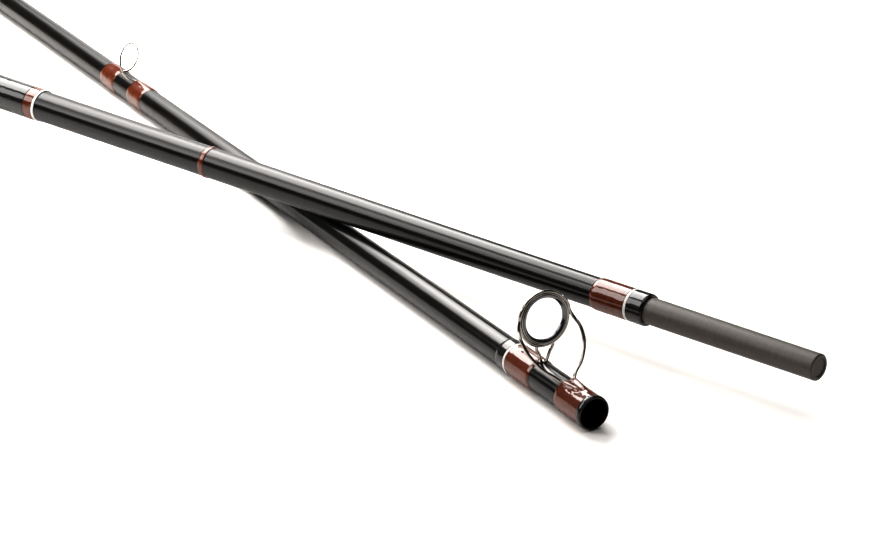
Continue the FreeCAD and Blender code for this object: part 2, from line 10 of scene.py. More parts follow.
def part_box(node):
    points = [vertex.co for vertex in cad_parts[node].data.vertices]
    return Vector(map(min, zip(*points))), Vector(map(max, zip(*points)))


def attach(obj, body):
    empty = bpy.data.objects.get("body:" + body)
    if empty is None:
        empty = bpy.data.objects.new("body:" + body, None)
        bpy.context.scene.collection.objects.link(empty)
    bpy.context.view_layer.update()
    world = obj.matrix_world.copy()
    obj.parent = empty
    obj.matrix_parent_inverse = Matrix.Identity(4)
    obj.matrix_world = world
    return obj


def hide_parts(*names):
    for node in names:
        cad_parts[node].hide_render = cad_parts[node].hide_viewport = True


# The looks of a three-piece two-handed fly rod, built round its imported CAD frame.
# Lengths in this file are millimetres along and across a rod section, unless a name says otherwise.

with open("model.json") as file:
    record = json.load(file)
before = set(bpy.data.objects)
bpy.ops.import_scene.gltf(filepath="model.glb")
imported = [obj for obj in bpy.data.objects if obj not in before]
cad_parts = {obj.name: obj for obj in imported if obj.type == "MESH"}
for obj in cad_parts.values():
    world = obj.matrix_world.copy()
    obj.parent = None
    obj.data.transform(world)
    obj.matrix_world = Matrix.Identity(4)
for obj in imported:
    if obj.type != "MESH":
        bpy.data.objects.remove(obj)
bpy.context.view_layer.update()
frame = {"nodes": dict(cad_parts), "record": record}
MM = 0.001

# ---------------------------------------------------------------- the three sections' own axes

mounts = {mount["name"]: mount for mount in frame["record"]["mounts"]}


def section_axes(start, along):
    """The matrix of a section: local X runs along it, local Z points up, and the origin is at its start."""
    x_axis = Vector(along).normalized()
    y_axis = Vector((0, 0, 1)).cross(x_axis).normalized()
    z_axis = x_axis.cross(y_axis)
    matrix = Matrix((x_axis, y_axis, z_axis)).transposed().to_4x4()
    matrix.translation = Vector(start)
    return matrix


def from_mount(name, back_mm):
    """The section that a mount lies on. The mount's axis points out of the section's start."""
    axis = Vector(mounts[name]["axis"]).normalized()
    return section_axes(Vector(mounts[name]["pos_m"]) + axis * (back_mm * MM), -axis)


SPIGOT_SOFT_END = 0.4
MIDDLE = from_mount("socket", 0.0)
BUTT = from_mount("spigot", mounts["spigot"]["dims"]["length_mm"] / 2 + SPIGOT_SOFT_END)
TIP = from_mount("tip_socket", 0.0)
BODY = {"middle": "middle_section", "butt": "butt_section", "tip": "tip_section"}
AXES = {"middle": MIDDLE, "butt": BUTT, "tip": TIP}


def local_points(node, section):
    """A CAD node's vertices in its section's own axes, in millimetres."""
    mesh = frame["nodes"][node].data
    points = np.zeros(len(mesh.vertices) * 3)
    mesh.vertices.foreach_get("co", points)
    inverse = np.array(AXES[section].inverted())
    return (points.reshape(-1, 3) @ inverse[:3, :3].T + inverse[:3, 3]) / MM


def extent(node, section):
    """How far along its section a CAD node starts and ends."""
    along = local_points(node, section)[:, 0]
    return float(along.min()), float(along.max())


def outline(node, section):
    """The outer profile of a turned CAD node, as (along, radius) pairs."""
    points = local_points(node, section)
    radii = np.hypot(points[:, 1], points[:, 2])
    places = np.round(points[:, 0], 2)
    return [(float(place), float(radii[places == place].max())) for place in np.unique(places)]


# ---------------------------------------------------------------- materials

class Material:
    """A Principled material with a short way to add and link nodes."""

    def __init__(self, name, **values):
        self.material = bpy.data.materials.new(name)
        self.material.use_nodes = True
        self.tree = self.material.node_tree
        self.shader = self.tree.nodes["Principled BSDF"]
        for socket, value in values.items():
            self.shader.inputs[socket.replace("_", " ")].default_value = value

    def node(self, kind, links=None, values=None, **settings):
        added = self.tree.nodes.new(kind)
        for setting, value in settings.items():
            setattr(added, setting, value)
        for socket, value in (values or {}).items():
            added.inputs[socket].default_value = value
        for socket, source in (links or {}).items():
            self.tree.links.new(source, added.inputs[socket])
        return added

    def place(self, scale=(1, 1, 1), turn=(0, 0, 0)):
        """The piece's own coordinates in metres, turned and scaled."""
        coordinates = self.node("ShaderNodeTexCoord")
        mapping = self.node("ShaderNodeMapping", {"Vector": coordinates.outputs["Object"]})
        mapping.inputs["Scale"].default_value = scale
        mapping.inputs["Rotation"].default_value = turn
        return mapping.outputs["Vector"]

    def noise(self, scale, detail=3.0, stretch=(1, 1, 1), roughness=0.55):
        return self.node("ShaderNodeTexNoise", {"Vector": self.place(stretch)},
                         {"Scale": scale, "Detail": detail, "Roughness": roughness}).outputs["Fac"]

    def bands(self, pitch_m, distortion, turn=0.0):
        """Rings round the section's axis, a pitch apart. The wave texture's pitch is pi / (10 * scale)."""
        return self.node("ShaderNodeTexWave", {"Vector": self.place(turn=(0, 0, turn))},
                         {"Scale": math.pi / (10 * pitch_m), "Distortion": distortion, "Detail": 2.0,
                          "Detail Scale": 1.5},
                         wave_type="BANDS", bands_direction="X", wave_profile="SIN").outputs["Fac"]

    def ramp(self, factor, stops):
        ramp = self.node("ShaderNodeValToRGB", {"Fac": factor})
        elements = ramp.color_ramp.elements
        while len(elements) < len(stops):
            elements.new(0.5)
        for element, (position, colour) in zip(elements, stops):
            element.position = position
            element.color = (*colour, 1.0)
        return ramp.outputs["Color"]

    def mixed(self, factor, first, second):
        mix = self.node("ShaderNodeMix", data_type="RGBA")
        for socket, value in ((0, factor), (6, first), (7, second)):
            if isinstance(value, (int, float)):
                mix.inputs[socket].default_value = value
            elif isinstance(value, tuple):
                mix.inputs[socket].default_value = (*value, 1.0)
            else:
                self.tree.links.new(value, mix.inputs[socket])
        return mix.outputs[2]

    def math(self, operation, first, second=0.0):
        node = self.node("ShaderNodeMath", operation=operation)
        for socket, value in ((0, first), (1, second)):
            if isinstance(value, (int, float)):
                node.inputs[socket].default_value = value
            else:
                self.tree.links.new(value, node.inputs[socket])
        return node.outputs[0]

    def colour(self, source):
        self.tree.links.new(source, self.shader.inputs["Base Color"])

    def roughness(self, source, low, high):
        spread = self.node("ShaderNodeMapRange", {"Value": source}, {"To Min": low, "To Max": high})
        self.tree.links.new(spread.outputs["Result"], self.shader.inputs["Roughness"])

    def soften_edges(self):
        """Thin the gloss coat where the surface turns away, so that outlines stay dark."""
        facing = self.node("ShaderNodeLayerWeight", values={"Blend": 0.5}).outputs["Facing"]
        spread = self.node("ShaderNodeMapRange", {"Value": facing},
                           {"From Min": 0.55, "From Max": 0.85, "To Min": 1.0, "To Max": 0.12})
        self.tree.links.new(spread.outputs["Result"], self.shader.inputs["Coat Weight"])

    def bump(self, source, height_mm, on_coat=False):
        bump = self.node("ShaderNodeBump", {"Height": source}, {"Strength": 1.0, "Distance": height_mm * MM})
        self.tree.links.new(bump.outputs["Normal"], self.shader.inputs["Normal"])
        if on_coat:
            self.tree.links.new(bump.outputs["Normal"], self.shader.inputs["Coat Normal"])


BLANK_RESIN_IOR = 1.33
TAPE_PITCH_M = 0.0012
THREAD_PITCH_M = 0.00026


def blank_material():
    """Gloss resin over black carbon, with the fine ridges that the curing tape leaves."""
    made = Material("blank_gloss_carbon", Roughness=0.35, Specular_IOR_Level=0.05, Coat_Weight=1.0,
                    Coat_Roughness=0.03, Coat_IOR=BLANK_RESIN_IOR)
    made.soften_edges()
    streaks = made.noise(900.0, 4.0, (0.05, 1, 1))
    made.colour(made.ramp(streaks, [(0.3, (0.0025, 0.0025, 0.0025)), (0.75, (0.008, 0.0075, 0.007))]))
    ridges = made.bands(TAPE_PITCH_M, 0.6, 0.05)
    waves = made.noise(160.0, 2.0)
    made.bump(made.math("ADD", ridges, made.math("MULTIPLY", waves, 1.2)), 0.035, on_coat=True)
    return made.material


def thread_material(name, painted_shade_colour, lit):
    """Thread turns under thick clear resin: the turns show as colour, the resin's surface stays smooth. The
    thread's colour is a shaded copy and a lit copy mixed in random patches: painted shade and painted glints.
    """
    made = Material(name, Roughness=0.42, Specular_IOR_Level=0.1, Coat_Weight=1.0,
                    Coat_Roughness=0.02, Coat_IOR=1.45)
    made.soften_edges()
    turns = made.bands(THREAD_PITCH_M, 0.25)
    # Painted shade and painted glints: noise mixes the shaded copy and the lit copy of the thread's colour in
    # random patches.
    painted_light_mask = made.noise(700.0, 3.0, (1, 0.35, 0.35))
    painted_light_patches = made.mixed(painted_light_mask, painted_shade_colour, lit)
    made.colour(made.mixed(made.math("MULTIPLY", turns, 0.45), painted_light_patches,
                           tuple(0.35 * channel for channel in painted_shade_colour)))
    made.bump(turns, 0.012)
    return made.material


def black_resin_material():
    made = Material("black_resin_gloss", Roughness=0.3, Specular_IOR_Level=0.1, Coat_Weight=1.0,
                    Coat_Roughness=0.02, Coat_IOR=1.38)
    made.soften_edges()
    turns = made.bands(THREAD_PITCH_M, 0.25)
    made.colour(made.mixed(turns, (0.004, 0.004, 0.0045), (0.011, 0.0105, 0.010)))
    made.bump(turns, 0.008)
    return made.material


def spigot_material():
    """Bare ground carbon: matt, with the grinder's fine rings and faint long fibres."""
    made = Material("spigot_ground_carbon", Roughness=0.5, Specular_IOR_Level=0.45)
    rings = made.noise(260.0, 5.0, (9, 0.6, 0.6), 0.65)
    fibres = made.noise(500.0, 4.0, (0.04, 1, 1))
    tone = made.math("ADD", made.math("MULTIPLY", rings, 0.6), made.math("MULTIPLY", fibres, 0.4))
    made.colour(made.ramp(tone, [(0.3, (0.036, 0.031, 0.026)), (0.7, (0.098, 0.085, 0.073))]))
    made.roughness(rings, 0.38, 0.62)
    made.bump(rings, 0.02)
    return made.material


def plug_material():
    made = Material("spigot_plug_putty", Roughness=0.6)
    grain = made.noise(1400.0, 4.0)
    made.colour(made.ramp(grain, [(0.3, (0.045, 0.040, 0.036)), (0.7, (0.10, 0.09, 0.08))]))
    made.bump(grain, 0.03)
    return made.material


def wire_material():
    """Hard-plated wire, polished, with faint drawing marks."""
    made = Material("guide_plated_wire", Metallic=1.0, Roughness=0.14)
    marks = made.noise(1500.0, 4.0)
    made.colour(made.ramp(marks, [(0.25, (0.26, 0.24, 0.215)), (0.8, (0.38, 0.355, 0.33))]))
    made.roughness(marks, 0.08, 0.2)
    return made.material


def ceramic_material():
    made = Material("ring_ceramic", Roughness=0.12, Coat_Weight=0.6, Coat_Roughness=0.03, IOR=1.9)
    grain = made.noise(2500.0, 2.0)
    made.colour(made.ramp(grain, [(0.3, (0.012, 0.012, 0.013)), (0.8, (0.028, 0.028, 0.030))]))
    made.roughness(grain, 0.08, 0.16)
    return made.material


def cork_material():
    """Cork rings glued end to end: each has its own tone, with darker pores and glue lines."""
    made = Material("grip_cork", Roughness=0.82, Specular_IOR_Level=0.25)
    coordinates = made.node("ShaderNodeSeparateXYZ", {"Vector": made.place()}).outputs["X"]
    ring = made.math("FLOOR", made.math("DIVIDE", coordinates, CORK_RING * MM))
    tone = made.node("ShaderNodeTexWhiteNoise", {"W": ring}, noise_dimensions="1D").outputs["Value"]
    cells = made.noise(520.0, 6.0, roughness=0.7)
    pale = made.mixed(tone, (0.56, 0.37, 0.20), (0.68, 0.48, 0.29))
    body = made.mixed(cells, pale, (0.38, 0.22, 0.11))
    pores = made.node("ShaderNodeTexVoronoi", {"Vector": made.place()}, {"Scale": 330.0})
    dark = made.ramp(pores.outputs["Distance"], [(0.10, (1, 1, 1)), (0.24, (0, 0, 0))])
    spots = made.mixed(dark, body, (0.13, 0.06, 0.03))
    across = made.math("ABSOLUTE", made.math("SUBTRACT", made.math(
        "FRACT", made.math("DIVIDE", coordinates, CORK_RING * MM)), 0.5))
    line = made.ramp(across, [(0.478, (0, 0, 0)), (0.492, (1, 1, 1))])
    made.colour(made.mixed(line, spots, (0.20, 0.11, 0.055)))
    made.bump(made.math("SUBTRACT", cells, made.math("MULTIPLY", dark, 0.8)), 0.16)
    return made.material


def wood_material():
    made = Material("seat_hardwood", Roughness=0.3, Coat_Weight=0.8, Coat_Roughness=0.06)
    grain = made.node("ShaderNodeTexWave", {"Vector": made.place((0.25, 1, 1))},
                      {"Scale": 130.0, "Distortion": 6.0, "Detail": 4.0, "Detail Scale": 1.2},
                      wave_type="RINGS", rings_direction="X").outputs["Fac"]
    pores = made.noise(1500.0, 4.0, (0.06, 1, 1))
    warm = made.ramp(grain, [(0.15, (0.10, 0.030, 0.012)), (0.85, (0.30, 0.115, 0.045))])
    made.colour(made.mixed(made.math("MULTIPLY", pores, 0.5), warm, (0.05, 0.016, 0.008)))
    made.bump(pores, 0.02)
    return made.material


def seat_metal_material():
    """Black anodised aluminium with fine turning marks."""
    made = Material("seat_anodised", Metallic=1.0, Roughness=0.3)
    marks = made.noise(1800.0, 4.0)
    made.colour(made.ramp(marks, [(0.25, (0.050, 0.050, 0.054)), (0.8, (0.085, 0.085, 0.090))]))
    made.roughness(marks, 0.24, 0.38)
    made.bump(marks, 0.006)
    return made.material


def rubber_material():
    made = Material("butt_soft_rubber", Roughness=0.7, Specular_IOR_Level=0.35)
    grain = made.noise(1600.0, 5.0)
    made.colour(made.ramp(grain, [(0.3, (0.014, 0.014, 0.015)), (0.8, (0.030, 0.030, 0.031))]))
    made.bump(grain, 0.05)
    return made.material


def floor_material():
    made = Material("floor_white", Roughness=0.55, Specular_IOR_Level=0.3)
    clouds = made.noise(1.3, 2.0)
    made.colour(made.ramp(clouds, [(0.3, (0.90, 0.885, 0.87)), (0.7, (0.93, 0.92, 0.905))]))
    return made.material


CORK_RING = 12.7

LOOKS = {
    "blank": blank_material(),
    # Each thread gets a shaded copy and then a lit copy of its colour; their mix in the material is painted
    # shade and painted glints.
    "brown_thread": thread_material("russet_thread", (0.034, 0.0055, 0.0012), (0.19, 0.036, 0.006)),
    "white_thread": thread_material("white_thread_resin", (0.72, 0.70, 0.67), (0.86, 0.85, 0.83)),
    "black_resin": black_resin_material(),
    "spigot_carbon": spigot_material(),
    "spigot_plug": plug_material(),
    "guide_wire": wire_material(),
    "ceramic_ring": ceramic_material(),
    "cork": cork_material(),
    "seat_wood": wood_material(),
    "seat_metal": seat_metal_material(),
    "butt_rubber": rubber_material(),
}

# ---------------------------------------------------------------- making pieces


SHARP_ANGLE = math.radians(38)


def finished_piece(name, mesh, section, slot, replaced):
    """Put a mesh, in its section's own axes, where the CAD has it, and hide the CAD nodes it stands for."""
    mesh.transform(Matrix.Scale(MM, 4))
    mesh.polygons.foreach_set("use_smooth", [True] * len(mesh.polygons))
    mesh.set_sharp_from_angle(angle=SHARP_ANGLE)
    mesh.materials.append(LOOKS[slot])
    piece = bpy.data.objects.new(name, mesh)
    bpy.context.scene.collection.objects.link(piece)
    piece.matrix_world = AXES[section]
    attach(piece, BODY[section])
    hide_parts(*replaced)
    return piece


def rounded(profile, radius, steps=4):
    """A closed profile with each corner rounded off."""
    points = [Vector(point) for point in profile]
    result = []
    for index, corner in enumerate(points):
        before = points[index - 1] - corner
        after = points[(index + 1) % len(points)] - corner
        if corner.y < 1e-6 or before.length < 1e-6 or after.length < 1e-6:
            result.append(tuple(corner))
            continue
        reach = min(radius, 0.45 * before.length, 0.45 * after.length)
        start = corner + before.normalized() * reach
        end = corner + after.normalized() * reach
        for step in range(steps + 1):
            share = step / steps
            bend = start * (1 - share) ** 2 + corner * (2 * share * (1 - share)) + end * share ** 2
            result.append(tuple(bend))
    return result


def divided(profile, step):
    """The same closed profile with points no further apart than a step."""
    result = []
    for index in range(len(profile)):
        start = np.array(profile[index])
        end = np.array(profile[(index + 1) % len(profile)])
        pieces = max(1, math.ceil(float(np.linalg.norm(end - start)) / step))
        result.extend(tuple(start + (end - start) * part / pieces) for part in range(pieces))
    return result


def turned_mesh(name, profile, segments, relief=None):
    """A solid of revolution about X from a closed profile of (along, radius) points.
    relief(along, angle, radius) gives a new radius for arrays of points."""
    places = np.array([point[0] for point in profile])
    radii = np.array([point[1] for point in profile])
    angles = np.linspace(0, 2 * math.pi, segments, endpoint=False)
    along, angle = np.meshgrid(places, angles, indexing="ij")
    radius = np.repeat(radii[:, None], segments, axis=1)
    if relief is not None:
        radius = relief(along, angle, radius)
    vertices = np.stack([along, radius * np.sin(angle), radius * np.cos(angle)], axis=-1).reshape(-1, 3)
    rows = len(places)
    row = np.arange(rows)[:, None]
    column = np.arange(segments)[None, :]
    next_row = (row + 1) % rows
    next_column = (column + 1) % segments
    corners = [row * segments + column, row * segments + next_column, next_row * segments + next_column,
               next_row * segments + column]
    faces = np.stack(corners, axis=-1).reshape(-1, 4)
    mesh = bpy.data.meshes.new(name)
    mesh.from_pydata(vertices.tolist(), [], faces.tolist())
    if (radii < 1e-6).any():
        merge_axis(mesh)
    mesh.validate()
    mesh.update()
    return mesh


def merge_axis(mesh):
    """Join the vertices that a profile point on the axis makes into one."""
    work = bmesh.new()
    work.from_mesh(mesh)
    on_axis = [vertex for vertex in work.verts if math.hypot(vertex.co.y, vertex.co.z) < 1e-5]
    bmesh.ops.remove_doubles(work, verts=on_axis, dist=1e-4)
    work.to_mesh(mesh)
    work.free()


def uneven(scale, height, seed):
    """A relief that makes a surface gently uneven, as brushed resin is."""
    def relief(along, angle, radius):
        shift = np.zeros_like(radius)
        flat = zip(np.ravel(along), np.ravel(angle), np.ravel(radius))
        for index, (place, turn, out) in enumerate(flat):
            point = Vector((place / scale + seed, out * math.sin(turn) / scale, out * math.cos(turn) / scale))
            shift.flat[index] = noise.noise(point)
        return radius + shift * height
    return relief


WRAP = 0.5
SLIM_WRAP = 0.4


def inner_radius(section, place):
    """The outer radius of a section's bare blank at a place along it."""
    places, radii = BLANK_PROFILES[section]
    return float(np.interp(place, places, radii))


def blank_profile(node, section):
    """Where a blank's outer cone starts and ends, and its radius there."""
    points = outline(node, section)
    outer = [point for point in points if point[1] > 0.5]
    return [outer[0][0], outer[-1][0]], [outer[0][1], outer[-1][1]]


BLANK_PROFILES = {
    "middle": blank_profile("mid_blank", "middle"),
    "butt": blank_profile("butt_blank", "butt"),
    "tip": blank_profile("tip_blank", "tip"),
}


EDGE = 1 - np.cos(np.linspace(0, math.pi / 2, 11))
SOFT = 1.8
MEETS = 0.2


def thread_wrap(name, node, section, slot, thick, feet=(), span=None, shoulders=(SOFT, SOFT)):
    """Thread under resin: a smooth sleeve, thinning at its two shoulders, that swells over the wire feet.
    feet holds functions of the place along, giving (angle, height over the sleeve, half width) there."""
    start, end = span or extent(node, section)
    low = inner_radius(section, start)
    high = inner_radius(section, end)

    def top(place):
        base = low + (high - low) * (place - start) / (end - start)
        share = np.minimum(np.clip((place - start) / shoulders[0], 0, 1),
                           np.clip((end - place) / shoulders[1], 0, 1))
        return base + 0.06 + (thick - 0.06) * np.sqrt(share * (2 - share)) * (0.55 + 0.45 * share)

    places = np.unique(np.concatenate([start + shoulders[0] * EDGE, end - shoulders[1] * EDGE,
                                       np.linspace(start + shoulders[0], end - shoulders[1],
                                                   max(3, int((end - start) / 0.35)))]))
    bottom = [(float(end), high - 0.08), (float(start), low - 0.08)]
    profile = [(float(place), float(top(place))) for place in places] + bottom
    rough = uneven(2.6, 0.035, len(name))

    def relief(along, angle, radius):
        skin = radius > low + (high - low) * (along - start) / (end - start) + 0.01
        shaped = np.where(skin, rough(along, angle, radius), radius)
        swell = np.zeros_like(radius)
        for foot in feet:
            turn, height, half_width = foot(along)
            gap = (angle - turn + math.pi) % (2 * math.pi) - math.pi
            swell = np.maximum(swell, height * np.exp(-(np.abs(gap) * radius / half_width) ** 2.4))
        inset = np.clip(np.minimum(along - start, end - along) / 0.5, 0, 1)
        return shaped + np.where(skin, swell * inset, 0)

    mesh = turned_mesh(name, profile, 120 if feet else 96, relief)
    return finished_piece(name, mesh, section, slot, [node])


TRIM_TURNS = 4


def trim_ring(name, node, section):
    """A few turns of pale thread, each turn a small ridge, under resin."""
    start, end = extent(node, section)
    low = inner_radius(section, start)
    places = np.linspace(start, end, 8 * TRIM_TURNS + 1)
    turns = np.abs(np.sin((places - start) / (end - start) * math.pi * TRIM_TURNS))
    profile = [(float(place), low + 0.43 + 0.05 * float(turn)) for place, turn in zip(places, turns)]
    profile += [(end, low - 0.08), (start, low - 0.08)]
    return finished_piece(name, turned_mesh(name, profile, 96), section, "white_thread", [node])


def smooth_path(points, per=10):
    """A smooth Catmull-Rom line through the points."""
    knots = [Vector(point) for point in points]
    knots = [knots[0] * 2 - knots[1]] + knots + [knots[-1] * 2 - knots[-2]]
    line = []
    for first, second, third, fourth in zip(knots, knots[1:], knots[2:], knots[3:]):
        for step in range(per):
            t = step / per
            line.append(0.5 * (2 * second + (third - first) * t
                               + (2 * first - 5 * second + 4 * third - fourth) * t ** 2
                               + (3 * second - first - 3 * third + fourth) * t ** 3))
    line.append(knots[-2])
    return line


def wire_mesh(name, lines):
    """Round wires as one mesh. Each line is (points, radii or one radius, closed)."""
    curve = bpy.data.curves.new(name, "CURVE")
    curve.dimensions = "3D"
    curve.bevel_depth = 1.0
    curve.bevel_resolution = 6
    curve.use_fill_caps = True
    for points, radius, closed in lines:
        spline = curve.splines.new("POLY")
        spline.points.add(len(points) - 1)
        radii = [radius] * len(points) if isinstance(radius, (int, float)) else radius
        for point, place, width in zip(spline.points, points, radii):
            point.co = (*place, 1.0)
            point.radius = width
        spline.use_cyclic_u = closed
    holder = bpy.data.objects.new(name + "_path", curve)
    bpy.context.scene.collection.objects.link(holder)
    bpy.context.view_layer.update()
    evaluated = holder.evaluated_get(bpy.context.evaluated_depsgraph_get())
    mesh = bpy.data.meshes.new_from_object(evaluated)
    mesh.name = name
    bpy.data.objects.remove(holder)
    return mesh


def on_surface(section, along, angle, above):
    """A point above the bare blank, at an angle from straight up."""
    out = inner_radius(section, along) + above
    return Vector((along, out * math.sin(angle), out * math.cos(angle)))


# ---------------------------------------------------------------- blanks

def blank(name, node, section, bore=None):
    """A tapered tube. bore is a list of (along, radius) for an open socket, from its mouth inwards."""
    (start, end), (low, high) = BLANK_PROFILES[section]
    inside = [(bore[-1][0], 0.0), *bore[::-1]] if bore else [(start, 0.0)]
    profile = divided([(start, low), (end, high), (end, 0.0), *inside], 1.6)
    mesh = turned_mesh(name, profile, 64, uneven(9.0, 0.02, 3.0))
    return finished_piece(name, mesh, section, "blank", [node])


MOUTH = BLANK_PROFILES["middle"][0][0]
blank("middle_blank", "mid_blank", "middle", [(MOUTH, 6.9), (0.0, 6.1), (92.0, 6.1)])
blank("butt_blank_tube", "butt_blank", "butt")
blank("tip_blank_tube", "tip_blank", "tip", [(0.0, 4.05), (80.0, 4.05)])

# ---------------------------------------------------------------- spigots and their end plugs


PLUG_RECESS = 0.5


def spigot(name, node, section, shoulder, toward, length, radius, bore, plug_node):
    """The bare spigot: a faintly tapered ground tube with a softened end and a recessed plug."""
    tip = shoulder + toward * length
    profile = [(shoulder - toward * 6, radius), (tip - toward * 0.5, radius), (tip, radius - 0.5),
               (tip, bore), (tip - toward * 6, bore), (shoulder - toward * 6, bore)]
    profile = divided(rounded(profile, 0.3), 0.8)
    mesh = turned_mesh(name, profile, 96, uneven(3.0, 0.012, 5.0))
    finished_piece(name, mesh, section, "spigot_carbon", [node])
    face = tip - toward * PLUG_RECESS
    disc = [(face - toward * 3, 0.0), (face - toward * 3, bore - 0.02), (face, bore - 0.02),
            (face - toward * 0.12, bore - 0.5), (face, bore * 0.45), (face, 0.0)]
    plug = turned_mesh(name + "_plug", divided(rounded(disc, 0.15), 0.3), 64, uneven(1.2, 0.05, 8.0))
    finished_piece(name + "_plug", plug, section, "spigot_plug", [plug_node])


BUTT_SHOULDER = BLANK_PROFILES["butt"][0][0]
MIDDLE_SHOULDER = BLANK_PROFILES["middle"][0][1]
spigot("butt_spigot_tube", "butt_spigot", "butt", BUTT_SHOULDER, -1, BUTT_SHOULDER, 6.05, 4.4,
       "butt_spigot_plug")
spigot("mid_spigot_tube", "mid_spigot", "middle", MIDDLE_SHOULDER, 1, 80.0, 4.0, 2.8, "mid_spigot_plug")

# ---------------------------------------------------------------- the stripping guide

RING_LEAN = math.radians(5)
ring_points = local_points("stripping_guide_insert", "middle")
RING_CENTRE = Vector((ring_points.min(axis=0) + ring_points.max(axis=0)) / 2)
RING_AXES = Matrix.Translation(RING_CENTRE) @ Matrix.Rotation(RING_LEAN, 4, "Y")
LOOP = 12.15
WIRE = 0.74
FOOT_BED = 0.25


def at_ring(across, up, ahead=0.0):
    return RING_AXES @ Vector((ahead, across, up))


def toe_point(place, angle):
    return on_surface("middle", place, angle, FOOT_BED)


def leg_line(side):
    """One long leg: along the loop's side, bowing out, down to the blank, then under the front wrap."""
    hug = [at_ring(side * (LOOP + 0.5) * math.sin(turn), (LOOP + 0.5) * math.cos(turn), -0.55)
           for turn in (math.radians(degrees) for degrees in (48, 60, 72, 84))]
    bends = [(36.4, 13.9, 26.6), (32.2, 14.9, 23.2), (27.4, 13.7, 18.0), (23.3, 9.8, 12.4), (20.7, 5.0, 8.6)]
    free = hug + [Vector((along, side * out, up)) for along, out, up in bends]
    under = [toe_point(17.6, side * math.radians(22)), toe_point(13.0, side * math.radians(14)),
             toe_point(6.5, side * math.radians(9))]
    return free + under


def brace_line(side):
    """One arm of the short V under the ring, running on as a foot under the rear wrap."""
    top = at_ring(side * 3.9, -math.sqrt(LOOP ** 2 - 3.9 ** 2))
    return [top, Vector((37.6, side * 4.1, top.z - 1.9)), Vector((37.7, side * 2.7, top.z - 4.4)),
            on_surface("middle", 38.2, side * 0.14, 0.95), toe_point(40.6, side * 0.11),
            toe_point(46.0, side * 0.1), toe_point(55.0, side * 0.1)]


lines = []
turns = [at_ring(LOOP * math.sin(angle), LOOP * math.cos(angle))
         for angle in np.linspace(0, 2 * math.pi, 96)[:-1]]
lines.append((turns, WIRE, True))
for side in (-1, 1):
    leg = smooth_path(leg_line(side))
    thin = [min(1.0, 0.5 + 0.5 * index / 12) * WIRE for index in range(len(leg))]
    taper = [radius * min(1.0, 0.35 + 0.65 * (len(leg) - 1 - index) / 16)
             for index, radius in enumerate(thin)]
    lines.append((leg, taper, False))
    brace = smooth_path(brace_line(side), 8)
    lines.append((brace, [WIRE * min(1.0, 0.35 + 0.65 * (len(brace) - 1 - index) / 12)
                          for index in range(len(brace))], False))
frame_mesh = wire_mesh("stripping_frame", lines)
finished_piece("stripping_frame", frame_mesh, "middle", "guide_wire", ["stripping_guide_frame"])


def ring_piece(name, profile, slot, node):
    mesh = turned_mesh(name, divided(rounded(profile, 0.35, 5), 0.25), 128)
    mesh.transform(RING_AXES)
    return finished_piece(name, mesh, "middle", slot, [node])


ring_piece("ring_rim", [(-1.0, 11.05), (1.0, 11.05), (1.0, 11.6), (-1.0, 11.6)], "guide_wire",
           "stripping_guide_rim")
ring_piece("ring_insert", [(-1.3, 11.12), (-1.3, 10.3), (-0.7, 9.45), (0.0, 9.2), (0.7, 9.45), (1.3, 10.3),
                           (1.3, 11.12)], "ceramic_ring", "stripping_guide_insert")


RIM_BACK = 0.7


def toe_swell(side):
    def foot(along):
        share = np.clip((17.6 - along) / 11.0, 0, 1)
        turn = side * np.radians(22 - 13 * share)
        height = np.interp(along, [3.0, 6.2, 9.0, 19.0], [0.0, 0.25, 0.85, 1.0])
        return turn, height, 1.35
    return foot


def heel_swell(side):
    def foot(along):
        height = np.interp(along, [39.8, 41.0, 51.0, 55.5, 57.5], [0.9, 0.85, 0.8, 0.3, 0.0])
        return side * 0.1, height, 1.5
    return foot


thread_wrap("front_wrap", "stripping_front_wrap", "middle", "brown_thread", WRAP,
            [toe_swell(-1), toe_swell(1)],
            (RIM_BACK, extent("stripping_front_wrap", "middle")[1]), (MEETS, SOFT))
thread_wrap("rear_wrap", "stripping_rear_wrap", "middle", "brown_thread", WRAP,
            [heel_swell(-1), heel_swell(1)], shoulders=(SOFT, MEETS))
trim_ring("rear_trim", "stripping_rear_trim", "middle")
thread_wrap("rear_edge_wrap", "stripping_rear_edge_wrap", "middle", "black_resin", WRAP,
            shoulders=(MEETS, SOFT))

rim_profile = rounded([(MOUTH, 6.92), (MOUTH, 7.3), (MOUTH + 0.4, 7.72), (-0.6, 7.9), (RIM_BACK, 7.75),
                       (RIM_BACK, 6.95), (-0.6, 6.95)], 0.3)
rim_mesh = turned_mesh("mouth_rim", divided(rim_profile, 0.3), 96, uneven(2.0, 0.03, 2.0))
finished_piece("mouth_rim", rim_mesh, "middle", "black_resin", ["socket_rim"])

# ---------------------------------------------------------------- snake guides


TAPER_STEPS = 14


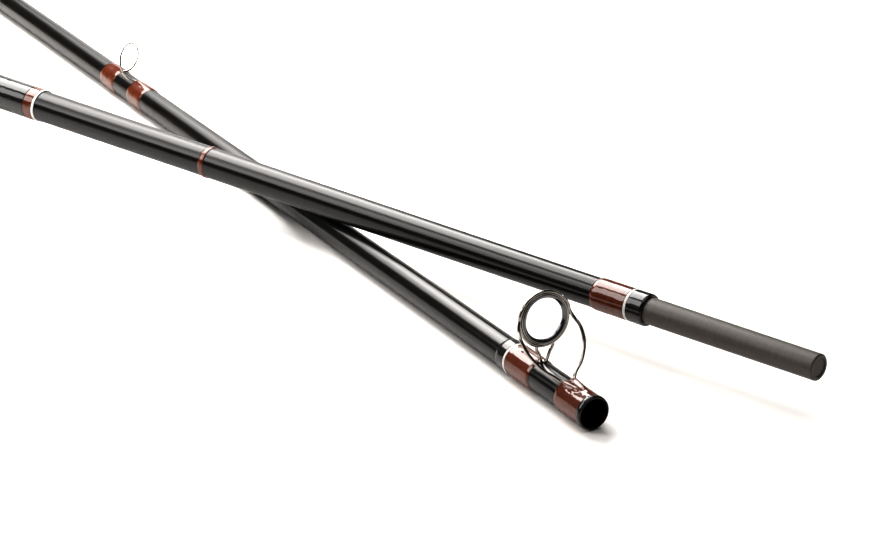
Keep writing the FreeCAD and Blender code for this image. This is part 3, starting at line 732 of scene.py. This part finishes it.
def snake(name, section, centre, wire, gap, half_width, rise, foot):
    """A one-turn wire guide with its feet ground to a taper. Returns where its near and far feet lie along the
    section, and a maker of the swell over a foot that starts thin and stops thick."""
    bed = 0.6 * wire
    near = centre - gap / 2
    far = centre + gap / 2
    low = inner_radius(section, centre) + bed
    points = [on_surface(section, near - foot, 0, bed), on_surface(section, near - foot / 2, 0, bed),
              on_surface(section, near - 1.2, 0, bed)]
    for step in range(1, 12):
        angle = step * math.pi / 6
        points.append(Vector((near + gap * step / 12, half_width * math.sin(angle),
                              low + rise / 2 * (1 - math.cos(angle)))))
    points += [on_surface(section, far + 1.2, 0, bed), on_surface(section, far + foot / 2, 0, bed),
               on_surface(section, far + foot, 0, bed)]
    line = smooth_path(points, 8)
    radii = [wire * min(1.0, 0.35 + 0.65 * min(index, len(line) - 1 - index) / TAPER_STEPS)
             for index in range(len(line))]
    finished_piece(name + "_wire", wire_mesh(name + "_wire", [(line, radii, False)]), section, "guide_wire",
                   [f"{name}_guide"])

    def swell(start, stop):
        def foot_relief(along):
            height = np.interp(along, [min(start, stop), max(start, stop)],
                               [0.0, 1.0] if start < stop else [1.0, 0.0])
            return 0.0, (0.75 if section == "middle" else 0.6) * height ** 0.6, wire * 2.3
        return foot_relief

    return (near - foot - 1, near - 1), (far + foot + 1, far + 1), swell


# For each prefix: section, centres along it, wire radius, gap between feet, half width, rise, foot, wrap.
SNAKES = {
    "mid": ("middle", (411.0, 620.0, 785.0), 0.45, 12.5, 6.5, 17.0, 11.0, 13.5),
    "tip": ("tip", (190.0, 390.0, 570.0, 740.0), 0.35, 11.0, 3.5, 8.6, 8.5, 10.0),
}
WRAP_BACK = 0.6
for prefix, (section, centres, wire, gap, half_width, rise, foot, band) in SNAKES.items():
    for number, centre in enumerate(centres, start=1):
        name = f"{prefix}_snake_{number}"
        near_foot, far_foot, swell = snake(name, section, centre, wire, gap, half_width, rise, foot)
        near = centre - gap / 2
        far = centre + gap / 2
        nodes = ([f"{name}_butt_wrap", f"{name}_tip_wrap"] if prefix == "mid" else [f"{name}_wraps"] * 2)
        thread_wrap(f"{name}_thread_near", nodes[0], section, "brown_thread", SLIM_WRAP, [swell(*near_foot)],
                    (near - band, near - WRAP_BACK))
        thread_wrap(f"{name}_thread_far", nodes[1], section, "brown_thread", SLIM_WRAP, [swell(*far_foot)],
                    (far + WRAP_BACK, far + band))

# ---------------------------------------------------------------- plain wraps and trims

for name, node, section, slot, thick, shoulders in (
        ("butt_end_wrap", "butt_ferrule_end_wrap", "butt", "black_resin", WRAP, (0.9, MEETS)),
        ("butt_brown_wrap", "butt_ferrule_wrap", "butt", "brown_thread", WRAP, (MEETS, SOFT)),
        ("butt_marker_band", "marker_band", "butt", "brown_thread", 0.3, (0.6, 0.6)),
        ("signature_brown", "signature_band", "butt", "brown_thread", WRAP, (MEETS, MEETS)),
        ("signature_black", "signature_wrap", "butt", "black_resin", WRAP, (MEETS, SOFT)),
        ("mid_far_wrap", "mid_ferrule_wrap", "middle", "brown_thread", SLIM_WRAP, (SOFT, MEETS)),
        ("mid_far_end_wrap", "mid_ferrule_end_wrap", "middle", "black_resin", SLIM_WRAP, (MEETS, 0.9)),
        ("tip_near_wrap", "tip_socket_wrap", "tip", "brown_thread", SLIM_WRAP, (SOFT, MEETS)),
        ("tip_near_edge_wrap", "tip_socket_edge_wrap", "tip", "black_resin", SLIM_WRAP, (MEETS, SOFT))):
    thread_wrap(name, node, section, slot, thick, shoulders=shoulders)
for name, node, section in (
        ("butt_trim", "butt_ferrule_trim", "butt"), ("signature_white", "signature_trim", "butt"),
        ("mid_far_trim", "mid_ferrule_trim", "middle"), ("tip_near_trim", "tip_socket_trim", "tip")):
    trim_ring(name, node, section)

# ---------------------------------------------------------------- handle and reel seat


BORE_CLEAR = 0.35


def from_outline(node, section, step):
    """A closed profile whose outside is a CAD node's, and whose inside is on the axis. The outline's points
    that lie on the node's bore, against the blank, are left out."""
    skin = [(place, radius) for place, radius in outline(node, section)
            if radius > inner_radius(section, place) + BORE_CLEAR]
    return divided([*skin, (skin[-1][0], 0.0), (skin[0][0], 0.0)], step)


def cork_relief(along, angle, radius):
    """Small chips and pores in the cork, and a hair of a groove at each glue line."""
    shaped = uneven(1.1, 0.11, 1.0)(along, angle, radius)
    joint = np.abs((along / CORK_RING + 0.5) % 1 - 0.5) * CORK_RING
    groove = 0.1 * np.exp(-(joint / 0.35) ** 2)
    return np.where(radius > 4.0, shaped - groove, radius)


for name, node in (("fore_grip_cork", "fore_grip"), ("rear_grip_cork", "rear_grip")):
    mesh = turned_mesh(name, from_outline(node, "butt", 0.9), 120, cork_relief)
    finished_piece(name, mesh, "butt", "cork", [node])

spacer_mesh = turned_mesh("seat_spacer", from_outline("reel_seat_spacer", "butt", 1.5), 96,
                          uneven(6.0, 0.02, 4.0))
finished_piece("seat_spacer", spacer_mesh, "butt", "seat_wood", ["reel_seat_spacer"])

THREAD_PITCH = 2.0
THREAD_DEPTH = 0.7


def thread_relief(along, angle, radius):
    """The barrel's screw thread, a rounded helical groove."""
    turn = (along / THREAD_PITCH - angle / (2 * math.pi)) % 1
    groove = THREAD_DEPTH * (0.5 - 0.5 * np.cos(2 * math.pi * turn)) ** 1.5
    start, end = extent("reel_seat_barrel", "butt")
    fade = np.clip(np.minimum(along - start, end - along) / 1.5, 0, 1)
    return np.where(radius > 5.0, radius - groove * fade, radius)


barrel_mesh = turned_mesh("seat_barrel", from_outline("reel_seat_barrel", "butt", 0.22), 96, thread_relief)
finished_piece("seat_barrel", barrel_mesh, "butt", "seat_metal", ["reel_seat_barrel"])


def cap_relief(along, angle, radius):
    """Grip grooves round the rubber cap."""
    start, end = extent("butt_cap", "butt")
    ridge = 0.5 - 0.5 * np.cos(2 * math.pi * (along - start) / 2.6)
    fade = np.clip((along - start) / 2, 0, 1) * np.clip((end - 8 - along) / 2, 0, 1)
    return np.where(radius > 10.0, radius - 0.35 * ridge * fade, radius)


cap_mesh = turned_mesh("cap_rubber", from_outline("butt_cap", "butt", 0.4), 96, cap_relief)
finished_piece("cap_rubber", cap_mesh, "butt", "butt_rubber", ["butt_cap"])


def check_relief(along, angle, radius):
    """Turned beads round the winding check."""
    start, end = extent("winding_check", "butt")
    bead = np.abs(np.sin(math.pi * 3 * (along - start) / (end - start)))
    return np.where(radius > 7.6, radius - 0.35 + 0.35 * bead, radius)


check_mesh = turned_mesh("check_ring", from_outline("winding_check", "butt", 0.2), 96, check_relief)
finished_piece("check_ring", check_mesh, "butt", "seat_metal", ["winding_check"])

for node, slot in (("fixed_hood", "seat_metal"), ("sliding_hood", "seat_metal"), ("lock_ring", "seat_metal"),
                   ("tip_top", "guide_wire")):
    kept = frame["nodes"][node]
    kept.data.materials.clear()
    kept.data.materials.append(LOOKS[slot])

# ---------------------------------------------------------------- floor, lights and camera

floor_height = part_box("socket_rim")[0].z
floor_mesh = bpy.data.meshes.new("studio_floor")
FLOOR_HALF = 14.0
corners = [(-FLOOR_HALF, -FLOOR_HALF, 0), (FLOOR_HALF, -FLOOR_HALF, 0), (FLOOR_HALF, FLOOR_HALF, 0),
           (-FLOOR_HALF, FLOOR_HALF, 0)]
floor_mesh.from_pydata(corners, [], [(0, 1, 2, 3)])
floor_mesh.materials.append(floor_material())
floor = bpy.data.objects.new("studio_floor", floor_mesh)
floor.location = (0, 0, floor_height)
bpy.context.scene.collection.objects.link(floor)

world = bpy.data.worlds.new("studio")
bpy.context.scene.world = world
world.use_nodes = True
world.node_tree.nodes["Background"].inputs["Color"].default_value = (1.0, 0.97, 0.94, 1)
world.node_tree.nodes["Background"].inputs["Strength"].default_value = 0.06

LIT_POINT = Vector((-0.15, 0.0, 0.0))
WARM_WHITE = (1.0, 0.98, 0.96)


def soft_box(name, centre, facing, width, height, radiance):
    """A rectangular lamp that faces a point. Its width lies level, and its radiance sets its power."""
    lamp = bpy.data.lights.new(name, "AREA")
    lamp.shape = "RECTANGLE"
    lamp.size = width
    lamp.size_y = height
    lamp.energy = radiance * math.pi * width * height
    lamp.color = WARM_WHITE
    holder = bpy.data.objects.new(name, lamp)
    holder.location = centre
    back = (Vector(centre) - Vector(facing)).normalized()
    level = Vector((0, 0, 1)).cross(back)
    level = level.normalized() if level.length > 0.01 else Vector((-0.885, -0.465, 0))
    holder.rotation_euler = Matrix((level, back.cross(level), back)).transposed().to_euler()
    bpy.context.scene.collection.objects.link(holder)


def around(azimuth, elevation, distance):
    """A point this far from the lit point, at an azimuth and elevation in degrees."""
    turn = math.radians(azimuth)
    lift = math.radians(elevation)
    return LIT_POINT + distance * Vector((math.cos(turn) * math.cos(lift), math.sin(turn) * math.cos(lift),
                                          math.sin(lift)))


soft_box("high_box", (-0.957, 0.119, 0.70), (-0.957, 0.119, 0.0), 0.72, 1.03, 15.0)
soft_box("low_box", (-1.646, 0.752, 0.52), (-0.15, 0.0, 0.35), 0.30, 0.95, 3.0)
soft_box("side_box", around(239.0, 37.0, 2.0), LIT_POINT, 0.85, 1.2, 9.0)
soft_box("top_box", (-0.4, 0.0, 6.0), (-0.4, 0.0, 0.0), 5.4, 5.4, 2.2)

LOOK_AT = Vector((-0.14863, 0.01763, 0.0))
VIEW_AZIMUTH = math.radians(328.674)
VIEW_ELEVATION = math.radians(25.1694)
VIEW_DISTANCE = 2.49893
bpy.context.scene.view_settings.view_transform = "Standard"
bpy.context.scene.view_settings.gamma = 0.72
camera = bpy.data.cameras.new("view")
camera.lens = 226.517
camera.sensor_width = 36.0
camera.clip_end = 100.0
viewer = bpy.data.objects.new("view", camera)
toward = Vector((math.cos(VIEW_AZIMUTH) * math.cos(VIEW_ELEVATION),
                 math.sin(VIEW_AZIMUTH) * math.cos(VIEW_ELEVATION), math.sin(VIEW_ELEVATION)))
viewer.location = LOOK_AT + toward * VIEW_DISTANCE
viewer.rotation_euler = toward.to_track_quat("Z", "Y").to_euler()
bpy.context.scene.collection.objects.link(viewer)
bpy.context.scene.camera = viewer
